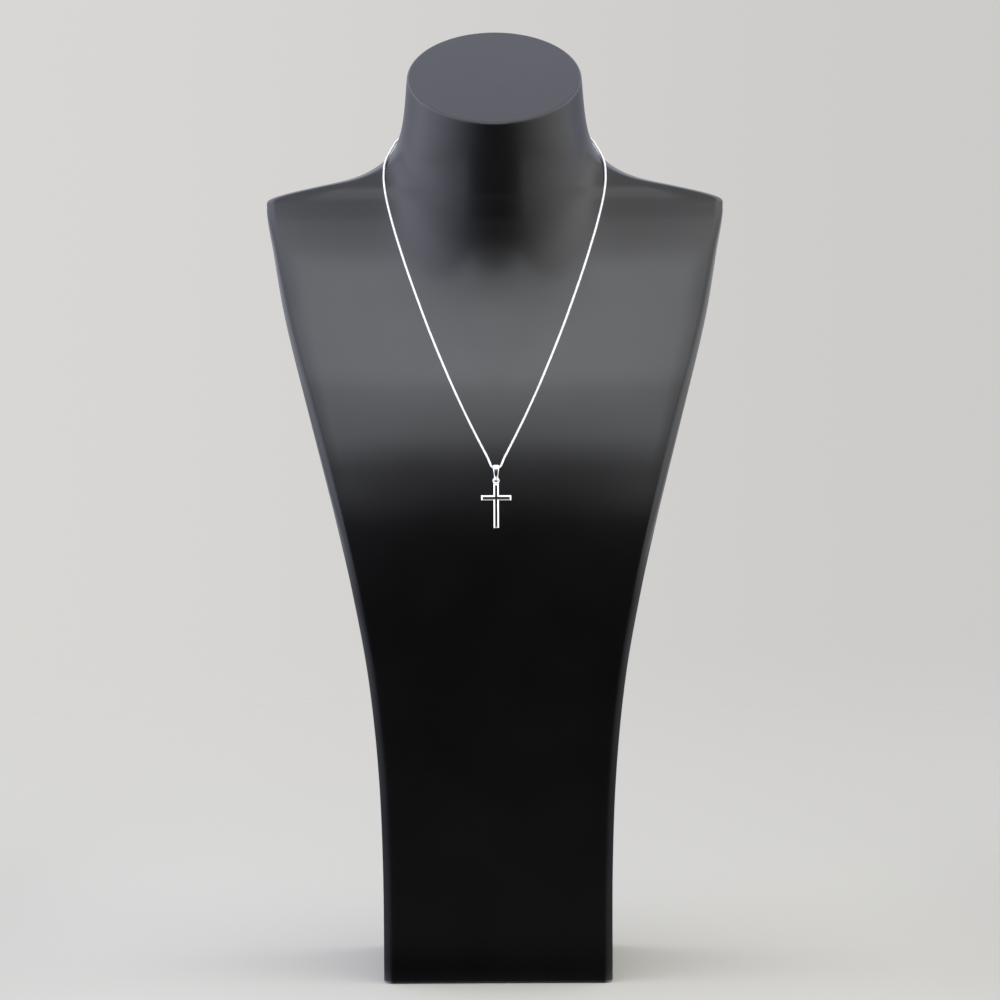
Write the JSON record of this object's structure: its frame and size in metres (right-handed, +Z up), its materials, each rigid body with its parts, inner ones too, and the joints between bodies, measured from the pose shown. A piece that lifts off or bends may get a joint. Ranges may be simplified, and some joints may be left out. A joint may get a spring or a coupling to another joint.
{
  "type": "cross pendant necklace on a neck bust",
  "caption": "Slim black neck-and-shoulders display bust with a slanting top, holding a fine box chain with a small bevelled cross on a tapered bail.",
  "frame": {"origin": "Centre of the foot's flat bottom face, on the surface that the bust stands on.", "axes": "+Z up the bust, -Y towards the viewer, where the cross hangs, +X to the viewer's right."},
  "size_m": [0.2408, 0.1289, 0.4982],
  "materials": {
    "black_paint": "satin black paint on a smooth moulded shell",
    "chain_silver": "bright silver box links",
    "plain_silver": "silver spring ring, a little duller from handling",
    "polished_silver": "mirror-polished silver"
  },
  "bodies": {
    "stand": {"neck_bust": "black_paint", "chain": "chain_silver", "clasp": "plain_silver"},
    "bail": {"bail": "polished_silver"},
    "cross": {"cross": "polished_silver"}
  },
  "joints": [
    {"name": "bail_swing", "type": "hinge", "parent": "stand", "child": "bail", "pos_m": [0, -0.0456, 0.2685], "axis": [-1, 0, 0], "range_deg": [0, 60]},
    {"name": "cross_sway", "type": "hinge", "parent": "bail", "child": "cross", "pos_m": [0, -0.0456, 0.2615], "axis": [0, 1, 0], "range_deg": [-45, 45]}
  ]
}
